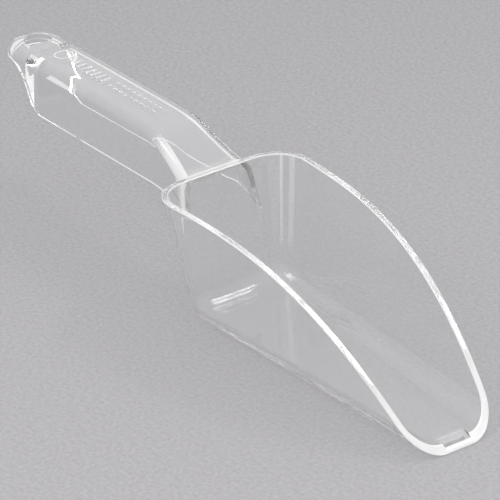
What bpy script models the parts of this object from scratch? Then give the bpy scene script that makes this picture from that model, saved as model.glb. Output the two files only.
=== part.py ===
"""Ice scoop in clear polycarbonate: a drafted, flat-floored bowl with a swept
rim, and a hollow handle that is open underneath and ends in a hanging tab.

The real scoop is one injection moulding.  It is modelled here as its three
natural regions, bowl, handle and hanging tab, which meet face to face with a
0.3 mm modelling gap.

Frame: metres.  +X from the handle to the pouring lip, +Y across, +Z up, the
flat floor of the bowl on Z = 0.  The drawing dimensions below are millimetres
with x = 0 at the back of the rim; everything is shifted at the end so that the
origin is the middle of the overall bounding box.
"""
import math

import bmesh
import bpy

MM = 0.001

# ---------------------------------------------------------------- dimensions
# bowl
LIP_X = 150.4          # back of the rim to the pouring lip
RIM_BACK = 51.6        # rim height at the back wall
RIM_TOP = 52.9         # highest point of the rim
RIM_TOP_X = 31.7       # where that highest point is
RIM_POWER = 2.4        # the rim falls away as 1 - u ** RIM_POWER
HALF_FLOOR = 24.8      # half width of the floor, projected to the back
FLOOR_TAPER = 0.045    # loss of half width per mm of length
SIDE_DRAFT = 0.163     # outward lean of the side walls, mm per mm
BACK_DRAFT = 0.22      # outward lean of the back wall
CORNER_RIM = 15.8      # plan radius of the back corners at the rim
CORNER_FLOOR = 12.5    # the same at floor level
FILLET_BACK = 7.5      # outer radius between floor and walls, at the back
FILLET_LIP = 12.0      # the same at the lip
WALL = 2.5             # wall thickness
FLOOR_T = 3.0          # floor thickness
LIP_T = 1.0            # floor thickness at the pouring lip
LIP_RUN = 7.0          # length of the ramp that thins the floor to the lip
LIP_HALF = 5.8         # half width of that ramp, between the two fillets

# handle
BEND_X = -25.0         # where the top of the handle bends down to the rim
TOP_AT_0 = 62.0        # height of the handle's top plane, projected to x = 0
TOP_SLOPE = 0.029      # rise of the top plane per mm of x
HALF_W0 = 12.2         # half width of the handle at the bend
HALF_TAPER = 0.0035    # gain of half width per mm of x
HANDLE_DRAFT = 0.015   # outward lean of the handle's side walls, downward
TOP_T = 2.4            # thickness of the handle's top plate
SIDE_T = 2.1           # thickness of the handle's side walls at the top
CHANNEL_DRAFT = 0.035  # how much faster the channel widens than the outside
EDGE_AT_0 = 39.7       # height of the side walls' lower edge, projected to 0
EDGE_SLOPE = 0.0386    # rise of that edge per mm of x
EDGE_FALL = 9.6        # how far that edge sweeps down where it meets the bowl
ROOT_FLARE = 3.4       # gain of half width where the handle meets the bowl

# end of the handle
WEB_X = -108.3         # inner face of the wall that closes the channel
WEB_T = 6.2            # its thickness under the tab; the swept edge thins it below
WEB_FOOT = 38.3        # height of that wall's lower edge on its inner face
WEB_LEAN = 1.6         # rise of its underside per mm towards the tab
TAB_X = -116.0         # where the tab's rounded end begins
TAB_A = 17.6           # its length, a superellipse in plan
TAB_POWER = 3.0        # the superellipse's exponent
TAB_SKIRT = 52.3       # lower edge of the skirt round the tab
HOLE_X0, HOLE_X1 = -127.9, -118.9   # hanging hole: round end, straight end
HOLE_HALF = 6.0        # half width of the hanging hole

GAP = 0.3              # modelling gap between neighbouring regions
END_X = TAB_X - TAB_A - HANDLE_DRAFT * 6.6
MID_X = (END_X + LIP_X) / 2.0


# ------------------------------------------------------------------ profiles
def smooth(t):
    t = min(max(t, 0.0), 1.0)
    return t * t * (3.0 - 2.0 * t)


def rim_height(x):
    if x < RIM_TOP_X:
        u = (RIM_TOP_X - max(x, 0.0)) / RIM_TOP_X
        return RIM_TOP - (RIM_TOP - RIM_BACK) * u * u
    u = (x - RIM_TOP_X) / (LIP_X - RIM_TOP_X)
    return RIM_TOP * (1.0 - u ** RIM_POWER)


def fillet_radius(x):
    return FILLET_BACK + (FILLET_LIP - FILLET_BACK) * min(max(x / LIP_X, 0.0), 1.0)


def fillet_inset(z, radius):
    """How far the fillet pulls the wall in at height z over the floor."""
    if z >= radius:
        return 0.0
    return radius - math.sqrt(max(radius * radius - (radius - z) ** 2, 0.0))


def handle_top(x):
    """Centre line of the handle's top face: a plane, a soft bend, the slope
    down to the rim."""
    flat = TOP_AT_0 + TOP_SLOPE * x
    slope = (RIM_BACK - (TOP_AT_0 + TOP_SLOPE * BEND_X)) / (-BEND_X)
    ramp = RIM_BACK + slope * x
    d = ramp - flat
    soft = 1.6
    return flat + 0.5 * (d - math.sqrt(d * d + soft * soft)) + 0.25 * soft * smooth((-x) / 40.0)


def handle_half(x):
    """Half width of the handle at its top edge."""
    u = max(0.0, (x - BEND_X) / (-BEND_X))
    return HALF_W0 + HALF_TAPER * (x - BEND_X) * (x < BEND_X) + ROOT_FLARE * u ** 1.6


def handle_corner(x):
    """Radius along the handle's top edges; it grows into the root and into
    the tab."""
    return 4.6 + 0.3 * smooth((x - BEND_X) / (-BEND_X)) + 0.4 * smooth((-85.0 - x) / 25.0)


def skirt_edge(x):
    """Lower edge of the side walls; it sweeps down where it meets the bowl."""
    t = max(0.0, (x + 7.0) / 12.0)
    return EDGE_AT_0 + EDGE_SLOPE * x - EDGE_FALL * t * t


# ------------------------------------------------------------------- helpers
def to_object(name, verts, faces, helper=False):
    mesh = bpy.data.meshes.new(name)
    mesh.from_pydata([(v[0] * MM, v[1] * MM, v[2] * MM) for v in verts], [], faces)
    mesh.validate()
    bm = bmesh.new()
    bm.from_mesh(mesh)
    bmesh.ops.recalc_face_normals(bm, faces=bm.faces)
    bm.to_mesh(mesh)
    bm.free()
    obj = bpy.data.objects.new(name, mesh)
    bpy.context.scene.collection.objects.link(obj)
    if helper:
        obj.hide_render = True
        obj.display_type = 'WIRE'
    return obj


def loft(rings, strip_caps=False):
    """Closed body through rings of equal length.  The caps are single faces,
    or strips across the object where a ring mirrors itself in Y."""
    n = len(rings[0])
    verts = [p for ring in rings for p in ring]
    faces = []
    for i in range(len(rings) - 1):
        for j in range(n):
            k = (j + 1) % n
            faces.append((i * n + j, i * n + k, (i + 1) * n + k, (i + 1) * n + j))
    last = (len(rings) - 1) * n
    if strip_caps:
        for j in range(n // 2 - 1):
            a, b, c, d = j, j + 1, n - 2 - j, n - 1 - j
            faces.append((d, c, b, a))
            faces.append((last + a, last + b, last + c, last + d))
    else:
        faces.append(tuple(range(n - 1, -1, -1)))
        faces.append(tuple(range(last, last + n)))
    return verts, faces


def prism_y(outline, half):
    """Outline in X and Z, extruded across the object."""
    return loft([[(x, -half, z) for x, z in outline], [(x, half, z) for x, z in outline]])


def prism_z(outline, low, high):
    """Outline in X and Y, extruded upright."""
    return loft([[(x, y, low) for x, y in outline], [(x, y, high) for x, y in outline]])


def boolean(obj, cutter, operation='DIFFERENCE'):
    mod = obj.modifiers.new(operation.title() + '_' + cutter.name, 'BOOLEAN')
    mod.operation = operation
    mod.solver = 'EXACT'
    mod.object = cutter
    return mod


def bezier(p0, p1, p2, p3, count):
    pts = []
    for i in range(count + 1):
        t = i / count
        s = 1.0 - t
        pts.append(tuple(s ** 3 * a + 3 * s * s * t * b + 3 * s * t * t * c + t ** 3 * d
                         for a, b, c, d in zip(p0, p1, p2, p3)))
    return pts


def clear_material(name):
    mat = bpy.data.materials.new(name)
    mat.use_nodes = True
    shader = mat.node_tree.nodes['Principled BSDF']
    shader.inputs['Base Color'].default_value = (0.93, 0.94, 0.95, 1.0)
    shader.inputs['Roughness'].default_value = 0.04
    shader.inputs['Metallic'].default_value = 0.0
    shader.inputs['IOR'].default_value = 1.585
    shader.inputs['Alpha'].default_value = 0.45
    return mat


# ---------------------------------------------------------------------- bowl
SIDE_STATIONS = 16
ARC_STEPS = 9
FRONT_X = LIP_X + 12.0


def bowl_ring(z, offset, lift):
    """Plan outline of the bowl at height z.  offset moves it inward, lift is
    the height over the surface's own floor, which sets the fillet."""
    def side(x):
        radius = fillet_radius(x) - offset
        half = HALF_FLOOR - FLOOR_TAPER * x + SIDE_DRAFT * z - offset
        return half - fillet_inset(lift, radius)

    corner = CORNER_FLOOR + (CORNER_RIM - CORNER_FLOOR) * z / RIM_TOP - offset
    back = BACK_DRAFT * (RIM_BACK - z) + offset + fillet_inset(lift, fillet_radius(0.0) - offset)
    corner = corner - 0.35 * fillet_inset(lift, fillet_radius(0.0) - offset)
    right = []
    for i in range(SIDE_STATIONS):
        x = FRONT_X + (back + corner - FRONT_X) * i / SIDE_STATIONS
        right.append((x, side(x)))
    y_c = side(back + corner) - corner
    for i in range(ARC_STEPS + 1):
        a = math.pi / 2 * i / ARC_STEPS
        right.append((back + corner - corner * math.sin(a), y_c + corner * math.cos(a)))
    ring = [(x, y, z) for x, y in right]
    ring += [(x, -y, z) for x, y in reversed(right)]
    return ring


def bowl_block(offset, floor, top):
    radius = FILLET_LIP - offset
    levels = [floor]
    for i in range(1, 7):
        a = math.pi / 2 * i / 6
        levels.append(floor + radius * (1.0 - math.cos(a)))
    levels += [floor + radius + (top - floor - radius) * t for t in (0.35, 0.7, 1.0)]
    return loft([bowl_ring(z, offset, z - floor + 0.02) for z in levels], strip_caps=True)


def rim_cutter():
    xs = [-20.0, -6.0, 0.0] + [LIP_X * (1.0 - (1.0 - i / 46.0) ** 1.25) for i in range(1, 47)]
    pts = [(x, rim_height(x)) for x in xs]
    slope = RIM_TOP * RIM_POWER / (LIP_X - RIM_TOP_X)
    pts.append((LIP_X + 20.0, -20.0 * slope))
    pts += [(LIP_X + 20.0, 90.0), (-20.0, 90.0)]
    return prism_y(pts, 60.0)


def lip_ramp():
    """Takes the upper skin off the floor in a short ramp down to the lip."""
    fall = (FLOOR_T - LIP_T) / LIP_RUN
    x0, x1 = LIP_X - LIP_RUN - 3.0, LIP_X + 4.0
    return prism_y([(x0, FLOOR_T + 3.0 * fall), (x1, LIP_T - 4.0 * fall), (x1, 9.0), (x0, 9.0)],
                   LIP_HALF)


def make_bowl(parent):
    outer = to_object('bowl', *bowl_block(0.0, 0.0, 62.0))
    inner = to_object('cut_bowl_inside', *bowl_block(WALL, FLOOR_T, 64.0), helper=True)
    rim = to_object('cut_rim', *rim_cutter(), helper=True)
    boolean(outer, inner)
    boolean(outer, rim)
    ramp = to_object('cut_lip_ramp', *lip_ramp(), helper=True)
    boolean(outer, ramp)
    for helper in (inner, rim, ramp):
        helper.parent = parent
    return outer


# -------------------------------------------------------------------- handle
def handle_section(x, inset, top_drop, low):
    """Upside-down U outline across the handle at x, down to height low."""
    top = handle_top(x) - top_drop
    half = handle_half(x) - inset
    radius = max(handle_corner(x) - 0.6 * inset, 0.7)
    # root flare makes the walls lean out more
    lean = HANDLE_DRAFT + 0.05 * smooth((x - BEND_X) / (-BEND_X)) + CHANNEL_DRAFT * (inset > 0.0)
    pts = [(half + lean * (top - low), low), (half + lean * (top - low) * 0.5, (top + low) / 2)]
    steps = 5
    for i in range(steps + 1):
        a = math.pi / 2 * i / steps
        pts.append((half - radius + radius * math.cos(a), top - radius + radius * math.sin(a)))
    full = pts + [(-y, z) for y, z in reversed(pts)]
    return [(x, y, z) for y, z in full]


def stations(a, b, step):
    n = max(2, int(round(abs(b - a) / step)))
    return [a + (b - a) * i / n for i in range(n + 1)]


def handle_block(inset, top_drop, low, x0, x1):
    xs = stations(x0, BEND_X - 8.0, 16.0) + stations(BEND_X - 8.0, x1, 3.2)[1:]
    return loft([handle_section(x, inset, top_drop, low) for x in xs])


def rounded_end_rows(xs, inset, top_drop, low, end_steps):
    """Half outlines, from the middle of the top over the rounded edge and down
    the wall to the middle of the bottom: one at each x, then on round the
    superelliptical end of the tab."""
    places = [('line', x) for x in xs]
    places += [('end', math.pi / 2 * (i + 1) / end_steps) for i in range(end_steps)]
    rows = []
    for kind, v in places:
        x = v if kind == 'line' else TAB_X
        radius = max(handle_corner(x) - 0.6 * inset, 0.7)
        lean = HANDLE_DRAFT + 0.05 * smooth((x - BEND_X) / (-BEND_X))

        def plan(d):
            if kind == 'line':
                return x, handle_half(x) - inset + d
            a, b = TAB_A - inset + d, handle_half(TAB_X) - inset + d
            power = 2.0 / TAB_POWER
            return (TAB_X - a * math.sin(v) ** power,
                    b * max(math.cos(v), 0.0) ** power if v < math.pi / 2 - 1e-6 else 0.0)

        px, py = plan(-radius)
        row = [(px, py * f, handle_top(px) - top_drop) for f in (0.0, 0.5)]
        for i in range(6):
            a = math.pi / 2 * (1.0 - i / 5)
            px, py = plan(-radius + radius * math.cos(a))
            row.append((px, py, handle_top(px) - top_drop - radius + radius * math.sin(a)))
        top = handle_top(plan(0.0)[0]) - top_drop
        for t in (0.5, 1.0):
            px, py = plan(lean * (top - low) * t)
            row.append((px, py, top - radius - (top - radius - low) * t))
        row += [(px, py * f, low) for f in (0.5, 0.0)]
        rows.append(row)
    return rows


def mirrored_body(name, rows, helper=False):
    """Closed body from half outlines: both halves, joined on the middle plane,
    with a flat cap over the first outline."""
    verts, faces = [], []
    n = len(rows[0])
    for sign in (1.0, -1.0):
        base = len(verts)
        verts += [(x * MM, sign * y * MM, z * MM) for row in rows for x, y, z in row]
        for i in range(len(rows) - 1):
            for j in range(n - 1):
                a = base + i * n + j
                quad = (a, a + 1, a + n + 1, a + n)
                faces.append(quad if sign > 0 else quad[::-1])
    mesh = bpy.data.meshes.new(name)
    mesh.from_pydata(verts, [], faces)
    bm = bmesh.new()
    bm.from_mesh(mesh)
    bmesh.ops.remove_doubles(bm, verts=bm.verts, dist=1e-6)
    bmesh.ops.contextual_create(bm, geom=[e for e in bm.edges if e.is_boundary])
    bmesh.ops.recalc_face_normals(bm, faces=bm.faces)
    bm.to_mesh(mesh)
    bm.free()
    obj = bpy.data.objects.new(name, mesh)
    bpy.context.scene.collection.objects.link(obj)
    if helper:
        obj.hide_render = True
        obj.display_type = 'WIRE'
    return obj


def skirt_cutter():
    sweep = bezier((-103.5, skirt_edge(-103.5)), (-112.3, 35.9), (-113.5, 51.8), (-122.5, TAB_SKIRT), 16)
    pts = [(9.0, skirt_edge(9.0))] + [(x, skirt_edge(x)) for x in (7.0, 5.0, 3.0, 1.0, -1.0, -3.0, -5.0, -7.0, -30.0, -60.0, -90.0)]
    pts += sweep
    pts += [(-142.0, TAB_SKIRT + 0.2), (-142.0, 5.0), (9.0, 5.0)]
    return prism_y(pts, 40.0)


def hole_outline():
    """D shape: straight side towards the bowl, round side to the end."""
    r = 1.6
    pts = [(HOLE_X1, 0.0), (HOLE_X1, HOLE_HALF - r)]
    for i in range(1, 4):
        a = math.pi / 2 * i / 3
        pts.append((HOLE_X1 - r + r * math.cos(a), HOLE_HALF - r + r * math.sin(a)))
    depth = (HOLE_X1 - r) - HOLE_X0
    for i in range(1, 16):
        a = math.pi * i / 16
        pts.append((HOLE_X1 - r - depth * math.sin(a), HOLE_HALF * math.cos(a)))
    for i in range(3, 0, -1):
        a = math.pi / 2 * i / 3
        pts.append((HOLE_X1 - r + r * math.cos(a), -(HOLE_HALF - r + r * math.sin(a))))
    pts.append((HOLE_X1, -(HOLE_HALF - r)))
    return pts


def make_handle_region(name, low_x, high_x, parent):
    """The whole handle body, cut down to the stretch from low_x to high_x."""
    xs = stations(14.0, BEND_X - 8.0, 3.2) + stations(BEND_X - 8.0, -85.0, 16.0)[1:]
    xs += stations(-85.0, TAB_X, 6.0)[1:]
    body = mirrored_body(name, rounded_end_rows(xs, 0.0, 0.0, 22.0, 16))
    cuts = []
    span = to_object('keep_span_' + name, *prism_z(
        [(low_x, -60.0), (high_x, -60.0), (high_x, 60.0), (low_x, 60.0)], 0.0, 90.0), helper=True)
    cuts.append((span, 'INTERSECT'))
    skirt = to_object('cut_skirt_' + name, *skirt_cutter(), helper=True)
    cuts.append((skirt, 'DIFFERENCE'))
    if high_x > WEB_X:
        # the channel runs on under the end wall, whose underside is steep
        x1 = WEB_X - WEB_T - 0.5
        channel = to_object('cut_channel', *handle_block(SIDE_T, TOP_T, 18.0, x1, 16.0), helper=True)
        wall = to_object('keep_end_wall', *prism_y(
            [(WEB_X, 75.0), (x1 - 2.0, 75.0), (x1 - 2.0, WEB_FOOT + WEB_LEAN * (WEB_X - x1 + 2.0)),
             (WEB_X, WEB_FOOT)], 40.0), helper=True)
        wall.parent = parent
        boolean(channel, wall, 'DIFFERENCE')
        cuts.append((channel, 'DIFFERENCE'))
        # the bowl's outside grown by the modelling gap
        bowl = to_object('cut_bowl_outside', *bowl_block(-GAP, -GAP, 70.0), helper=True)
        cuts.append((bowl, 'DIFFERENCE'))
    else:
        hollow = mirrored_body('cut_tab_inside', rounded_end_rows(
            [WEB_X - WEB_T, TAB_X], SIDE_T, TOP_T, 20.0, 14), helper=True)
        cuts.append((hollow, 'DIFFERENCE'))
        hole = to_object('cut_hanging_hole', *prism_z(hole_outline(), 21.0, 90.0), helper=True)
        cuts.append((hole, 'DIFFERENCE'))
    for helper, operation in cuts:
        helper.parent = parent
        boolean(body, helper, operation)
    return body


# --------------------------------------------------------------------- build
def main():
    for obj in list(bpy.data.objects):
        bpy.data.objects.remove(obj, do_unlink=True)

    scoop = bpy.data.objects.new('scoop', None)
    bpy.context.scene.collection.objects.link(scoop)
    scoop.location = (-MID_X * MM, 0.0, 0.0)

    split = WEB_X - WEB_T
    bodies = [make_bowl(scoop),
              make_handle_region('handle', split + GAP / 2, 40.0, scoop),
              make_handle_region('hanging_tab', END_X - 10.0, split - GAP / 2, scoop)]
    for body in bodies:
        body.parent = scoop
        body.data.materials.clear()
        body.data.materials.append(clear_material(body.name + '_polycarbonate'))
        body.data.shade_smooth()
        body.data.set_sharp_from_angle(angle=math.radians(32.0))


main()
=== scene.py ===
"""Looks of the clear ice scoop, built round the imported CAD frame.

The real scoop is a single clear injection moulding, so the visual model is one
seamless closed skin: bowl, handle, root, web, hanging tab and hole.  It stands
for the three CAD regions and stays on their surfaces.  Drawing dimensions are
millimetres with x = 0 at the back of the rim, as in the CAD model.
"""

import math

import bmesh
import bpy
import numpy as np
from mathutils import Matrix, Vector


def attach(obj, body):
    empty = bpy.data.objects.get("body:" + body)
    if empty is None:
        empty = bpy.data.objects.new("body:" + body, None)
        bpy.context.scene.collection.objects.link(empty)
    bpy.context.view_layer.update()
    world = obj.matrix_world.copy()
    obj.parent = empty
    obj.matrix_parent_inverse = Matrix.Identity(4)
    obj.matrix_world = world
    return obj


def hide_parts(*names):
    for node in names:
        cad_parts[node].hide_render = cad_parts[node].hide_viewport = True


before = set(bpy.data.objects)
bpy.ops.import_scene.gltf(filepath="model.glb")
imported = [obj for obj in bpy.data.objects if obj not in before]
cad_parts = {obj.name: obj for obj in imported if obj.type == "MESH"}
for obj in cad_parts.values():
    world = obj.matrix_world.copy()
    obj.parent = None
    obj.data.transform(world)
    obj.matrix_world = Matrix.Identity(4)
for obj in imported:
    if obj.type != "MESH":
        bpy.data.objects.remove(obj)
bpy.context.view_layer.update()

MM = 0.001

# ------------------------------------------------------- drawing dimensions
LIP_X = 150.4
RIM_BACK, RIM_TOP, RIM_TOP_X, RIM_POWER = 51.6, 52.9, 31.7, 2.4
HALF_FLOOR, FLOOR_TAPER, SIDE_DRAFT, BACK_DRAFT = 24.8, 0.045, 0.163, 0.22
CORNER_RIM, CORNER_FLOOR = 15.8, 12.5
FILLET_BACK, FILLET_LIP = 7.5, 12.0
WALL, FLOOR_T, LIP_T, LIP_RUN, LIP_HALF = 2.5, 3.0, 1.0, 7.0, 5.8
RIM_ROUND = 0.5

BEND_X, TOP_AT_0, TOP_SLOPE = -25.0, 62.0, 0.029
HALF_W0, HALF_TAPER, HANDLE_DRAFT = 12.2, 0.0035, 0.015
TOP_T, SIDE_T, EDGE_AT_0, EDGE_SLOPE, EDGE_FALL, ROOT_FLARE = 2.4, 2.1, 39.7, 0.0386, 9.6, 3.4
CHANNEL_DRAFT, WEB_FOOT, WEB_LEAN = 0.035, 38.3, 1.6
WEB_X, WEB_T, TAB_X, TAB_A, TAB_POWER, TAB_SKIRT = -108.3, 6.2, -116.0, 17.6, 3.0, 52.3
HOLE_X0, HOLE_X1, HOLE_HALF = -127.9, -118.9, 6.0
MID_X = (TAB_X - TAB_A - HANDLE_DRAFT * 6.6 + LIP_X) / 2.0


def smooth(t):
    t = min(max(t, 0.0), 1.0)
    return t * t * (3.0 - 2.0 * t)


def rim_height(x):
    if x < RIM_TOP_X:
        u = (RIM_TOP_X - max(x, 0.0)) / RIM_TOP_X
        return RIM_TOP - (RIM_TOP - RIM_BACK) * u * u
    u = (x - RIM_TOP_X) / (LIP_X - RIM_TOP_X)
    return RIM_TOP * (1.0 - u ** RIM_POWER)


def fillet_radius(x):
    return FILLET_BACK + (FILLET_LIP - FILLET_BACK) * min(max(x / LIP_X, 0.0), 1.0)


def fillet_inset(z, radius):
    if z >= radius:
        return 0.0
    return radius - math.sqrt(max(radius * radius - (radius - z) ** 2, 0.0))


def handle_top(x):
    flat = TOP_AT_0 + TOP_SLOPE * x
    slope = (RIM_BACK - (TOP_AT_0 + TOP_SLOPE * BEND_X)) / (-BEND_X)
    ramp = RIM_BACK + slope * x
    d = ramp - flat
    soft = 1.6
    return flat + 0.5 * (d - math.sqrt(d * d + soft * soft)) + 0.25 * soft * smooth((-x) / 40.0)


def handle_half(x):
    u = max(0.0, (x - BEND_X) / (-BEND_X))
    return HALF_W0 + HALF_TAPER * (x - BEND_X) * (x < BEND_X) + ROOT_FLARE * u ** 1.6


def handle_corner(x):
    return 4.6 + 0.3 * smooth((x - BEND_X) / (-BEND_X)) + 0.4 * smooth((-85.0 - x) / 25.0)


def skirt_edge(x):
    t = max(0.0, (x + 7.0) / 12.0)
    return EDGE_AT_0 + EDGE_SLOPE * x - EDGE_FALL * t * t


# ------------------------------------------------------------- mesh helpers
def new_mesh_object(name, verts, faces, merge=0.0):
    """Makes an object from drawing millimetres, with shared points merged and
    its faces turned outward."""
    mesh = bpy.data.meshes.new(name)
    mesh.from_pydata([((p[0] - MID_X) * MM, p[1] * MM, p[2] * MM) for p in verts], [], faces)
    bm = bmesh.new()
    bm.from_mesh(mesh)
    if merge:
        bmesh.ops.remove_doubles(bm, verts=bm.verts, dist=merge * MM)
        bmesh.ops.dissolve_degenerate(bm, edges=bm.edges, dist=merge * MM)
    bmesh.ops.recalc_face_normals(bm, faces=bm.faces)
    bm.to_mesh(mesh)
    bm.free()
    obj = bpy.data.objects.new(name, mesh)
    bpy.context.scene.collection.objects.link(obj)
    return obj


def grid_faces(rows, base):
    """Quads of a grid whose points are stored row by row from base."""
    n = len(rows[0])
    out = []
    for i in range(len(rows) - 1):
        for j in range(n - 1):
            a = base + i * n + j
            out.append((a, a + 1, a + n + 1, a + n))
    return out


def mirrored(grids):
    """Grids of the +Y half and their mirror images as one list of points and
    faces."""
    verts, faces = [], []
    for rows in grids:
        faces += grid_faces(rows, len(verts))
        verts += [p for row in rows for p in row]
        faces += [tuple(reversed(f)) for f in grid_faces(rows, len(verts))]
        verts += [(p[0], -p[1], p[2]) for row in rows for p in row]
    return verts, faces


def loft(rings):
    n = len(rings[0])
    verts = [p for ring in rings for p in ring]
    faces = []
    for i in range(len(rings) - 1):
        for j in range(n):
            k = (j + 1) % n
            faces.append((i * n + j, i * n + k, (i + 1) * n + k, (i + 1) * n + j))
    last = (len(rings) - 1) * n
    faces.append(tuple(range(n - 1, -1, -1)))
    faces.append(tuple(range(last, last + n)))
    return verts, faces


def prism_y(outline, half):
    return loft([[(x, -half, z) for x, z in outline], [(x, half, z) for x, z in outline]])


def prism_z(outline, low, high):
    return loft([[(x, y, low) for x, y in outline], [(x, y, high) for x, y in outline]])


def apply_modifiers(obj):
    dg = bpy.context.evaluated_depsgraph_get()
    done = bpy.data.meshes.new_from_object(obj.evaluated_get(dg))
    obj.modifiers.clear()
    obj.data = done
    return obj


def combine(obj, others, operation):
    """EXACT Boolean of obj with each of the others, which are used up."""
    for other in others:
        mod = obj.modifiers.new('b', 'BOOLEAN')
        mod.operation = operation
        mod.solver = 'EXACT'
        mod.object = other
        apply_modifiers(obj)
        bpy.data.objects.remove(other, do_unlink=True)
    return obj


def bezier(p0, p1, p2, p3, count):
    pts = []
    for i in range(count + 1):
        t = i / count
        s = 1.0 - t
        pts.append(tuple(s ** 3 * a + 3 * s * s * t * b + 3 * s * t * t * c + t ** 3 * d
                         for a, b, c, d in zip(p0, p1, p2, p3)))
    return pts


# --------------------------------------------------------------------- bowl
def trimmed_rim(trim):
    """The rim's curve moved inward by trim, as a function of x."""
    xs = np.linspace(-8.0, LIP_X + 6.0, 6000)
    zs = np.array([rim_height(x) for x in xs])
    dz = np.gradient(zs, xs)
    n = np.sqrt(1.0 + dz * dz)
    ox, oz = xs + trim * dz / n, zs - trim / n
    return lambda x: float(np.interp(x, ox, oz))


def bisect(f, a, b):
    fa = f(a)
    for _ in range(48):
        m = 0.5 * (a + b)
        fm = f(m)
        if (fm > 0.0) == (fa > 0.0):
            a, fa = m, fm
        else:
            b = m
    return 0.5 * (a + b)


ROWS, ARC, LEVELS = 72, 16, 30
BLOCK = (0.0, 0.25, 0.5, 0.75, 1.0)
STRIP_IN = (0.0, 0.24, 0.48, 0.68, 0.80, 0.8113, 0.8560, 0.90, 0.96, 1.0)


def bowl_skin(offset, floor, trim, ramp):
    """Half of one face of the bowl's wall: (block, ribs).  The block is the
    middle of the floor; the ribs run from it over the fillet up to the rim."""
    rim = trimmed_rim(trim)
    r0 = fillet_radius(0.0) - offset

    def ramp_z(x):
        fall = (FLOOR_T - LIP_T) / LIP_RUN
        return min(floor, LIP_T + fall * (LIP_X - x))

    front = bisect(lambda x: rim(x) - floor, 120.0, LIP_X + 4.0)
    front_ramp = bisect(lambda x: rim(x) - ramp_z(x), 120.0, LIP_X + 4.0) if ramp else front

    def side(x, lift):
        radius = fillet_radius(x) - offset
        return (HALF_FLOOR - FLOOR_TAPER * x + SIDE_DRAFT * (floor + lift) - offset
                - fillet_inset(lift, radius))

    def corner_at(lift):
        z = floor + lift
        inset = fillet_inset(lift, r0)
        corner = CORNER_FLOOR + (CORNER_RIM - CORNER_FLOOR) * z / RIM_TOP - offset - 0.35 * inset
        back = BACK_DRAFT * (RIM_BACK - z) + offset + inset
        xc = back + corner
        return back, corner, xc, side(xc, lift) - corner

    def rib_point(kind, t, lift):
        back, corner, xc, yc = corner_at(lift)
        if kind == 'side':
            x = front + (xc - front) * t
            return (x, side(x, lift), floor + lift)
        if kind == 'arc':
            a = math.pi / 2 * t
            return (xc - corner * math.sin(a), yc + corner * math.cos(a), floor + lift)
        return (back, yc * (1.0 - t), floor + lift)

    _, _, xc0, yc0 = corner_at(0.0)
    share = yc0 / side(xc0, 0.0)
    rows = [(i / ROWS) ** 2.0 for i in range(ROWS + 1)]

    def floor_point(t, f):
        inside = ramp and f < 0.912
        start = front_ramp if inside else front
        x = start + (xc0 - start) * t
        z = ramp_z(x) if inside else floor
        return (x, f * side(x, 0.0), z)

    block = [[floor_point(t, share * c) for c in BLOCK] for t in rows]
    kinds = [('side', t) for t in rows]
    kinds += [('arc', (i + 1) / ARC) for i in range(ARC)]
    kinds += [('back', 1.0 - c) for c in reversed(BLOCK[:-1])]
    ribs = []
    for kind, t in kinds:
        edge = rib_point(kind, t, 0.0)
        rib = []
        for g in STRIP_IN[:-1]:
            if kind == 'side':
                rib.append(floor_point(t, share + (1.0 - share) * g))
            elif kind == 'arc':
                rib.append(tuple(a + (b - a) * g for a, b in zip((xc0, yc0, floor), edge)))
            else:
                rib.append(tuple(a + (b - a) * g for a, b in zip((xc0, edge[1], floor), edge)))
        top = bisect(lambda h: floor + h - rim(rib_point(kind, t, h)[0]), -0.001, 62.0)
        top = max(top, 0.0)
        radius = fillet_radius(edge[0] if kind == 'side' else 0.0) - offset
        if top < radius:
            length = radius * math.acos(max(-1.0, 1.0 - top / radius))
        else:
            length = radius * math.pi / 2 + top - radius
        for k in range(LEVELS + 1):
            s = length * (k / LEVELS) ** 1.35
            if s < radius * math.pi / 2:
                lift = radius * (1.0 - math.cos(s / radius))
            else:
                lift = radius + s - radius * math.pi / 2
            rib.append(rib_point(kind, t, min(lift, top)))
        ribs.append(rib)
    return block, ribs


def rim_loop(skin):
    block, ribs = skin
    loop = list(block[0]) + ribs[0][1:len(STRIP_IN)]
    return loop + [rib[-1] for rib in ribs[1:]]


def make_bowl():
    outer, inner = bowl_skin(0.0, 0.0, RIM_ROUND, False), bowl_skin(WALL, FLOOR_T, RIM_ROUND, True)
    edge_out = rim_loop(bowl_skin(0.0, 0.0, 0.0, False))
    edge_in = rim_loop(bowl_skin(WALL, FLOOR_T, 0.0, True))
    band = []
    for a, p, q, b in zip(rim_loop(outer), edge_out, edge_in, rim_loop(inner)):
        a, p, q, b = (np.array(v, float) for v in (a, p, q, b))
        across = q - p
        width = np.linalg.norm(across)
        r = min(RIM_ROUND, 0.4 * width)
        c, d = p + across / width * r, q - across / width * r
        row = []
        for t in (0.0, 0.2, 0.4, 0.6, 0.8, 1.0):
            row.append(tuple((1 - t) ** 2 * a + 2 * t * (1 - t) * p + t * t * c))
        row += [tuple(c + (d - c) * t) for t in (0.33, 0.67)]
        for t in (0.0, 0.2, 0.4, 0.6, 0.8, 1.0):
            row.append(tuple((1 - t) ** 2 * d + 2 * t * (1 - t) * q + t * t * b))
        band.append(row)
    return new_mesh_object('scoop_moulding',
                           *mirrored([outer[0], outer[1], inner[0], inner[1], band]), merge=0.004)


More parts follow.
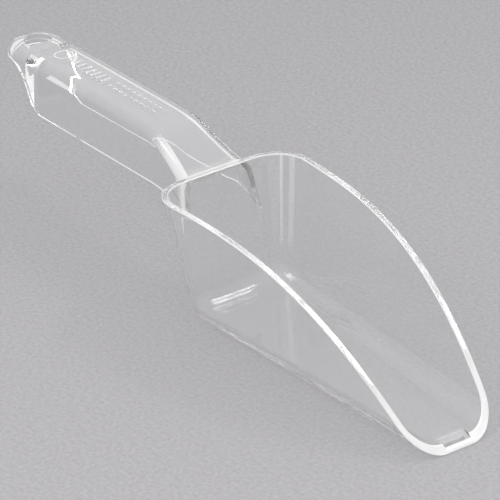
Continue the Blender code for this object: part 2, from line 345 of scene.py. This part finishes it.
def bowl_core(offset):
    """The space inside a surface offset into the bowl's wall."""
    def ring(z):
        def side(x):
            return HALF_FLOOR - FLOOR_TAPER * x + SIDE_DRAFT * z - offset
        corner = CORNER_FLOOR + (CORNER_RIM - CORNER_FLOOR) * z / RIM_TOP - offset
        back = BACK_DRAFT * (RIM_BACK - z) + offset
        right = [(60.0, side(60.0))]
        yc = side(back + corner) - corner
        for i in range(21):
            a = math.pi / 2 * i / 20
            right.append((back + corner - corner * math.sin(a), yc + corner * math.cos(a)))
        pts = [(x, y, z) for x, y in right]
        return pts + [(x, -y, z) for x, y in reversed(right)]
    return loft([ring(z) for z in (12.0, 30.0, 48.0, 66.0)])


# ------------------------------------------------------------------- handle
def rounded_end(name, xs, inset, top_drop, low, end_steps):
    """Closed body of the handle's outline with rounded top edges, running
    along xs and on round the superelliptical end of the tab."""
    places = [('line', x) for x in xs]
    places += [('end', math.pi / 2 * (i + 1) / end_steps) for i in range(end_steps)]
    rows = []
    for kind, v in places:
        x = v if kind == 'line' else TAB_X
        radius = max(handle_corner(x) - 0.6 * inset, 0.7)
        lean = HANDLE_DRAFT + 0.05 * smooth((x - BEND_X) / (-BEND_X))

        def plan(d):
            if kind == 'line':
                return x, handle_half(x) - inset + d
            a, b = TAB_A - inset + d, handle_half(TAB_X) - inset + d
            power = 2.0 / TAB_POWER
            return (TAB_X - a * math.sin(v) ** power,
                    b * max(math.cos(v), 0.0) ** power if v < math.pi / 2 - 1e-6 else 0.0)

        row = []
        px, py = plan(-radius)
        for f in (0.0, 0.25, 0.5, 0.75, 0.94):
            row.append((px, py * f, handle_top(px) - top_drop))
        for i in range(11):
            a = math.pi / 2 * (1.0 - i / 10)
            px, py = plan(-radius + radius * math.cos(a))
            row.append((px, py, handle_top(px) - top_drop - radius + radius * math.sin(a)))
        top = handle_top(plan(0.0)[0]) - top_drop
        span = top - radius - low
        for i in range(1, 9):
            t = i / 8
            px, py = plan(lean * (top - low) * t)
            row.append((px, py, top - radius - span * t))
        for f in (0.66, 0.33, 0.0):
            row.append((px, py * f, low))
        rows.append(row)
    obj = new_mesh_object(name, *mirrored([rows]), merge=0.004)
    bm = bmesh.new()
    bm.from_mesh(obj.data)
    bmesh.ops.contextual_create(bm, geom=[e for e in bm.edges if e.is_boundary])
    bmesh.ops.recalc_face_normals(bm, faces=bm.faces)
    bm.to_mesh(obj.data)
    bm.free()
    return obj


def channel_section(x):
    low = 18.0
    top = handle_top(x) - TOP_T
    half = handle_half(x) - SIDE_T
    radius = max(handle_corner(x) - 0.6 * SIDE_T, 0.9)
    lean = HANDLE_DRAFT + CHANNEL_DRAFT + 0.05 * smooth((x - BEND_X) / (-BEND_X))
    pts = [(half + lean * (top - low) * (1 - t), low + (top - radius - low) * t)
           for t in (0.0, 0.3, 0.6, 0.85)]
    for i in range(8):
        a = math.pi / 2 * i / 7
        pts.append((half - radius + radius * math.cos(a), top - radius + radius * math.sin(a)))
    pts += [((half - radius) * f, top) for f in (0.66, 0.33)]
    full = pts + [(-y, z) for y, z in reversed(pts)]
    return [(x, y, z) for y, z in full]


def make_handle():
    xs = [14.0 - 1.6 * i for i in range(38)]
    xs += list(np.linspace(xs[-1], TAB_X, 26)[1:])
    body = rounded_end('handle_body', xs, 0.0, 0.0, 22.0, 40)
    x1 = WEB_X - WEB_T - 0.5
    xs = list(np.linspace(x1, -46.0, 23)) + list(np.linspace(-46.0, 16.0, 40))[1:]
    channel = new_mesh_object('c', *loft([channel_section(x) for x in xs]))
    wall = new_mesh_object('c', *prism_y(
        [(WEB_X, 75.0), (x1 - 2.0, 75.0), (x1 - 2.0, WEB_FOOT + WEB_LEAN * (WEB_X - x1 + 2.0)),
         (WEB_X, WEB_FOOT)], 40.0))
    combine(channel, [wall], 'DIFFERENCE')
    sweep = bezier((-103.5, skirt_edge(-103.5)), (-112.3, 35.9), (-113.5, 51.8),
                   (-122.5, TAB_SKIRT), 40)
    pts = [(9.0 - i, skirt_edge(9.0 - i)) for i in range(17)]
    pts += [(x, skirt_edge(x)) for x in range(-12, -101, -5)]
    pts += sweep + [(-142.0, TAB_SKIRT + 0.2), (-142.0, 5.0), (9.0, 5.0)]
    skirt = new_mesh_object('c', *prism_y(pts, 40.0))
    hollow = rounded_end('c', list(np.linspace(WEB_X - WEB_T, TAB_X, 5)), SIDE_T, TOP_T, 20.0, 36)
    hole = new_mesh_object('c', *prism_z(hole_outline(), 21.0, 90.0))
    core = new_mesh_object('c', *bowl_core(1.2))
    combine(body, [skirt, channel, hollow, hole, core], 'DIFFERENCE')
    combine(body, [raised_marks()], 'UNION')
    return body


def raised_marks():
    """A plain ring and rows of short dashes, raised on the handle's top."""
    verts, faces = [], []
    lift, bury = 0.28, 0.5

    def top(x):
        return handle_top(x)

    steps = 48
    profile = [(3.3, -bury), (3.45, lift), (4.05, lift), (4.2, -bury)]
    for i in range(steps):
        a = 2 * math.pi * i / steps
        for r, h in profile:
            x, y = -103.0 + r * math.cos(a), r * math.sin(a)
            verts.append((x, y, top(x) + h))
    for i in range(steps):
        for j in range(4):
            a, b = i * 4 + j, i * 4 + (j + 1) % 4
            c, d = ((i + 1) % steps) * 4 + (j + 1) % 4, ((i + 1) % steps) * 4 + j
            faces.append((a, b, c, d))

    def dash(x0, x1, y0, y1):
        base = len(verts)
        for h, grow in ((-bury, 0.12), (lift, 0.0)):
            for x, y in ((x0 - grow, y0 - grow), (x1 + grow, y0 - grow),
                         (x1 + grow, y1 + grow), (x0 - grow, y1 + grow)):
                verts.append((x, y, top(x) + h))
        for quad in ((0, 1, 2, 3), (4, 5, 6, 7), (0, 1, 5, 4), (1, 2, 6, 5),
                     (2, 3, 7, 6), (3, 0, 4, 7)):
            faces.append(tuple(base + k for k in quad))

    # equal crosswise bars, then two even rows of lengthwise dashes
    for i in range(7):
        x = -94.0 + 3.4 * i
        dash(x, x + 0.8, -2.6, 2.6)
    for i in range(9):
        x = -68.0 + 3.6 * i
        for y in (-2.2, 1.65):
            dash(x, x + 2.0, y, y + 0.55)
    return new_mesh_object('c', verts, faces)


def hole_outline():
    r = 1.6
    pts = [(HOLE_X1, 0.0), (HOLE_X1, HOLE_HALF - r)]
    for i in range(1, 7):
        a = math.pi / 2 * i / 6
        pts.append((HOLE_X1 - r + r * math.cos(a), HOLE_HALF - r + r * math.sin(a)))
    depth = (HOLE_X1 - r) - HOLE_X0
    for i in range(1, 32):
        a = math.pi * i / 32
        pts.append((HOLE_X1 - r - depth * math.sin(a), HOLE_HALF * math.cos(a)))
    for i in range(6, 0, -1):
        a = math.pi / 2 * i / 6
        pts.append((HOLE_X1 - r + r * math.cos(a), -(HOLE_HALF - r + r * math.sin(a))))
    pts.append((HOLE_X1, -(HOLE_HALF - r)))
    return pts


def mark_painted_highlight_faces(mesh):
    """Stores on each face how much painted highlight it gets, as a share of white
    diffuse mixed into the plastic: both edges of the trimmed rim, the ramp at the
    lip, the ends of the handle's walls where they run into the bowl, and two faint
    painted highlight lines down each back corner; also the handle's root edges,
    its raised marks and the near corner of its end wall."""
    attribute = mesh.attributes.new('painted_highlight', 'FLOAT', 'FACE')
    values = []
    for face in mesh.polygons:
        pts = [mesh.vertices[i].co for i in face.vertices]
        near = sum(p.y for p in pts) < 0.0
        pts = [(p.x / MM + MID_X, abs(p.y / MM), p.z / MM) for p in pts]
        x, y, z = (sum(c) / len(pts) for c in zip(*pts))
        value = 0.0
        wall = BACK_DRAFT * (RIM_BACK - z)
        # painted highlight on both edges of the trimmed rim, stronger on its sloping sides and
        # towards the lip
        if x > -0.5 and all(abs(pz - rim_height(max(px, 0.0))) < 0.75 for px, _, pz in pts):
            rise = rim_height(x + 0.1) - rim_height(x - 0.1)
            up = Vector((-rise / 0.2, 0.0, 1.0)).normalized()
            flat = 0.16 + 0.45 * smooth((x - 108.0) / 30.0)
            value = flat if face.normal.dot(up) > 0.96 else 0.62
            value *= 0.72 + 0.28 * smooth(x / 45.0)
        # painted lighter patch on the ramp at the lip
        elif x > LIP_X - 9.5 and y < LIP_HALF + 0.1 and LIP_T - 0.3 < z < FLOOR_T - 0.02:
            value = 0.10
        # painted highlight on the ends of the handle's walls where they meet the bowl, stronger on
        # the near side
        elif -9.0 < x < wall - 0.15 and 10.5 < y < 17.5 and z < 49.0:
            value = (0.62 if near else 0.50) * smooth((x + 8.0) / 7.0)
        # painted highlight on the down-facing faces at the handle's root
        elif -9.0 < x < wall - 0.15 and y < 12.0 and z < 51.0 and face.normal.z < -0.3:
            value = 0.5 * smooth((x + 6.0) / 5.0)
        elif (-26.0 < x < wall - 0.15 and z > 46.0 and y > 8.0
              and abs(face.normal.y) > 0.25 and face.normal.z > 0.2):
            # painted highlight on the rounded edges of the handle's sloping root, where a softbox
            # reflects, stronger on the near side
            value = (0.42 if near else 0.16) * smooth((x + 27.0) / 14.0)
        elif (x < -30.0 and y < 6.0 and z > handle_top(x) + 0.04):
            # painted highlight on the raised marks
            value = 0.32
        elif near and WEB_X - 0.2 < x < WEB_X + 3.0 and y > 8.0 and abs(face.normal.x) < 0.5 \
                and y < handle_half(x) - 0.4 and z > 34.0 \
                and max(px for px, _, _ in pts) < WEB_X + 4.0:
            # painted highlight in the corner between the end wall and the near side wall
            value = 0.55
        # two painted highlight lines down each back corner, where light strips reflect in the
        # curved corner
        elif x < 30.0 and 12.0 < z < rim_height(x) - 0.8:
            corner = CORNER_FLOOR + (CORNER_RIM - CORNER_FLOOR) * z / RIM_TOP - WALL
            xc = wall + WALL + corner
            yc = HALF_FLOOR - FLOOR_TAPER * xc + SIDE_DRAFT * z - WALL - corner
            if abs(math.hypot(x - xc, y - yc) - corner) < 0.35 and x < xc and y > yc:
                a = math.degrees(math.atan2(xc - x, y - yc))
                if 39.0 < a < 46.0:
                    value = 0.34
                elif 16.0 < a < 29.0:
                    value = 0.20
                value *= smooth((z - 12.0) / 10.0)
        values.append(value)
    attribute.data.foreach_set('value', values)


# ----------------------------------------------------------------- material
def clear_plastic(name):
    mat = bpy.data.materials.new(name)
    mat.use_nodes = True
    nt = mat.node_tree
    nodes, links = nt.nodes, nt.links
    shader = nodes['Principled BSDF']
    shader.inputs['IOR'].default_value = 1.585
    shader.inputs['Transmission Weight'].default_value = 1.0
    shader.inputs['Metallic'].default_value = 0.0

    coord = nodes.new('ShaderNodeTexCoord')
    # faint clouding of the resin
    cloud = nodes.new('ShaderNodeTexNoise')
    cloud.inputs['Scale'].default_value = 28.0
    cloud.inputs['Detail'].default_value = 3.0
    links.new(coord.outputs['Object'], cloud.inputs['Vector'])
    tint = nodes.new('ShaderNodeValToRGB')
    tint.color_ramp.elements[0].color = (0.990, 0.992, 0.994, 1.0)
    tint.color_ramp.elements[1].color = (0.998, 0.999, 1.0, 1.0)
    links.new(cloud.outputs['Fac'], tint.inputs['Fac'])
    links.new(tint.outputs['Color'], shader.inputs['Base Color'])
    # handling haze: slightly rougher in soft patches
    haze = nodes.new('ShaderNodeTexNoise')
    haze.inputs['Scale'].default_value = 75.0
    haze.inputs['Detail'].default_value = 5.0
    links.new(coord.outputs['Object'], haze.inputs['Vector'])
    rough = nodes.new('ShaderNodeMapRange')
    rough.inputs['From Min'].default_value = 0.35
    rough.inputs['From Max'].default_value = 0.75
    rough.inputs['To Min'].default_value = 0.012
    rough.inputs['To Max'].default_value = 0.05
    links.new(haze.outputs['Fac'], rough.inputs['Value'])
    links.new(rough.outputs['Result'], shader.inputs['Roughness'])
    # the handle is a little milky, the bowl almost perfectly clear
    place = nodes.new('ShaderNodeSeparateXYZ')
    links.new(coord.outputs['Object'], place.inputs['Vector'])
    milk = nodes.new('ShaderNodeMapRange')
    milk.interpolation_type = 'SMOOTHSTEP'
    milk.inputs['From Min'].default_value = -0.030
    milk.inputs['From Max'].default_value = 0.004
    milk.inputs['To Min'].default_value = 0.984
    milk.inputs['To Max'].default_value = 0.995
    links.new(place.outputs['X'], milk.inputs['Value'])
    links.new(milk.outputs['Result'], shader.inputs['Transmission Weight'])
    # flow waviness of the moulding under fine lengthwise scuffs
    wave = nodes.new('ShaderNodeTexNoise')
    wave.inputs['Scale'].default_value = 40.0
    wave.inputs['Detail'].default_value = 1.0
    links.new(coord.outputs['Object'], wave.inputs['Vector'])
    stretch = nodes.new('ShaderNodeMapping')
    stretch.inputs['Scale'].default_value = (60.0, 900.0, 500.0)
    links.new(coord.outputs['Object'], stretch.inputs['Vector'])
    scuff = nodes.new('ShaderNodeTexNoise')
    scuff.inputs['Scale'].default_value = 1.0
    scuff.inputs['Detail'].default_value = 4.0
    links.new(stretch.outputs['Vector'], scuff.inputs['Vector'])
    bump = nodes.new('ShaderNodeBump')
    bump.inputs['Strength'].default_value = 0.35
    bump.inputs['Distance'].default_value = 0.00012
    links.new(wave.outputs['Fac'], bump.inputs['Height'])
    fine = nodes.new('ShaderNodeBump')
    fine.inputs['Strength'].default_value = 0.10
    fine.inputs['Distance'].default_value = 0.000006
    links.new(scuff.outputs['Fac'], fine.inputs['Height'])
    links.new(bump.outputs['Normal'], fine.inputs['Normal'])
    links.new(fine.outputs['Normal'], shader.inputs['Normal'])
    # painted highlights: a white diffuse is mixed in by the per-face attribute, on the trimmed rim
    # and the other places where light catches the plastic
    painted_highlight = nodes.new('ShaderNodeAttribute')
    painted_highlight.attribute_name = 'painted_highlight'
    share = nodes.new('ShaderNodeMath')
    share.operation = 'MULTIPLY'
    share.inputs[1].default_value = 1.0
    links.new(painted_highlight.outputs['Fac'], share.inputs[0])
    highlight_white = nodes.new('ShaderNodeBsdfDiffuse')
    highlight_white.inputs['Color'].default_value = (0.97, 0.97, 0.97, 1.0)
    blend = nodes.new('ShaderNodeMixShader')
    links.new(share.outputs['Value'], blend.inputs['Fac'])
    links.new(shader.outputs['BSDF'], blend.inputs[1])
    links.new(highlight_white.outputs['BSDF'], blend.inputs[2])
    links.new(blend.outputs['Shader'], nodes['Material Output'].inputs['Surface'])
    return mat


def paper_floor():
    mesh = bpy.data.meshes.new('studio_floor')
    s = 7.0
    mesh.from_pydata([(-s, -s, 0), (s, -s, 0), (s, s, 0), (-s, s, 0)], [], [(0, 1, 2, 3)])
    obj = bpy.data.objects.new('studio_floor', mesh)
    obj.location.z = -0.0003
    bpy.context.scene.collection.objects.link(obj)
    mat = bpy.data.materials.new('grey_paper')
    mat.use_nodes = True
    nt = mat.node_tree
    shader = nt.nodes['Principled BSDF']
    shader.inputs['Roughness'].default_value = 0.95
    shader.inputs['Specular IOR Level'].default_value = 0.15
    coord = nt.nodes.new('ShaderNodeTexCoord')
    noise = nt.nodes.new('ShaderNodeTexNoise')
    noise.inputs['Scale'].default_value = 620.0
    noise.inputs['Detail'].default_value = 6.0
    noise.inputs['Roughness'].default_value = 0.65
    nt.links.new(coord.outputs['Object'], noise.inputs['Vector'])
    ramp = nt.nodes.new('ShaderNodeValToRGB')
    ramp.color_ramp.elements[0].position = 0.25
    ramp.color_ramp.elements[0].color = (0.075, 0.073, 0.077, 1.0)
    ramp.color_ramp.elements[1].position = 0.75
    ramp.color_ramp.elements[1].color = (0.195, 0.191, 0.199, 1.0)
    nt.links.new(noise.outputs['Fac'], ramp.inputs['Fac'])
    nt.links.new(ramp.outputs['Color'], shader.inputs['Base Color'])
    # painted light: the floor glows a little, which lifts the shadows under the scoop
    shader.inputs['Emission Color'].default_value = (0.985, 0.965, 1.0, 1.0)
    # the painted glow is dimmer towards the back, as the light falls off there
    place = nt.nodes.new('ShaderNodeVectorMath')
    place.operation = 'DOT_PRODUCT'
    place.inputs[1].default_value = (-0.809, 0.588, 0.0)
    nt.links.new(coord.outputs['Object'], place.inputs[0])
    fall = nt.nodes.new('ShaderNodeMapRange')
    fall.inputs['From Min'].default_value = -0.20
    fall.inputs['From Max'].default_value = 0.27
    fall.inputs['To Min'].default_value = 0.312
    fall.inputs['To Max'].default_value = 0.237
    nt.links.new(place.outputs['Value'], fall.inputs['Value'])
    nt.links.new(fall.outputs['Result'], shader.inputs['Emission Strength'])
    mesh.materials.append(mat)


def area_light(name, place, target, size_x, size_y, radiance):
    """A soft box.  radiance is its brightness as seen directly."""
    data = bpy.data.lights.new(name, 'AREA')
    data.shape = 'RECTANGLE'
    data.size, data.size_y = size_x, size_y
    data.energy = radiance * size_x * size_y * math.pi
    obj = bpy.data.objects.new(name, data)
    obj.location = place
    obj.rotation_mode = 'QUATERNION'
    obj.rotation_quaternion = (Vector(target) - Vector(place)).to_track_quat('-Z', 'Y')
    bpy.context.scene.collection.objects.link(obj)
    return obj


def studio():
    scene = bpy.context.scene
    world = bpy.data.worlds.new('studio')
    world.use_nodes = True
    nt = world.node_tree
    back = nt.nodes['Background']
    coord = nt.nodes.new('ShaderNodeTexCoord')
    split = nt.nodes.new('ShaderNodeSeparateXYZ')
    nt.links.new(coord.outputs['Generated'], split.inputs['Vector'])
    sky = nt.nodes.new('ShaderNodeMapRange')
    sky.inputs['From Min'].default_value = 0.2
    sky.inputs['From Max'].default_value = 0.9
    sky.inputs['To Min'].default_value = 0.85
    sky.inputs['To Max'].default_value = 1.35
    nt.links.new(split.outputs['Z'], sky.inputs['Value'])
    nt.links.new(sky.outputs['Result'], back.inputs['Strength'])
    back.inputs['Color'].default_value = (1.0, 1.0, 1.0, 1.0)
    scene.world = world
    area_light('softbox', (0.42, 0.86, 1.28), (0.0, 0.0, 0.03), 0.40, 0.22, 18.0)
    area_light('softbox_low', (-0.34, -1.18, 1.08), (0.0, 0.0, 0.03), 0.9, 0.7, 3.5)
    scene.view_settings.view_transform = 'Standard'
    # light is piped a long way through the clear walls before it leaves them
    scene.cycles.max_bounces = 64
    scene.cycles.transmission_bounces = 64
    scene.cycles.glossy_bounces = 64

    cam = bpy.data.cameras.new('camera')
    cam.sensor_width = 36.0
    cam.lens = 273.6
    cam.clip_start, cam.clip_end = 0.05, 60.0
    obj = bpy.data.objects.new('camera', cam)
    right = Vector((0.591860, 0.805989, -0.009159))
    up = Vector((-0.386043, 0.293420, 0.874572))
    out = Vector((0.707582, -0.514089, 0.484810))
    rot = Matrix((right, up, out)).transposed()
    obj.matrix_world = Matrix.Translation((1.03842, -0.74433, 0.72755)) @ rot.to_4x4()
    scene.collection.objects.link(obj)
    scene.camera = obj


# --------------------------------------------------------------------- build
def main():
    bowl = make_bowl()
    handle = make_handle()
    combine(bowl, [handle], 'UNION')
    mesh = bowl.data
    mesh.materials.clear()
    mesh.materials.append(clear_plastic('clear_polycarbonate'))
    mark_painted_highlight_faces(mesh)
    mesh.shade_smooth()
    mesh.set_sharp_from_angle(angle=math.radians(32.0))
    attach(bowl, 'root')
    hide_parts('bowl', 'handle', 'hanging_tab')
    paper_floor()
    studio()


main()
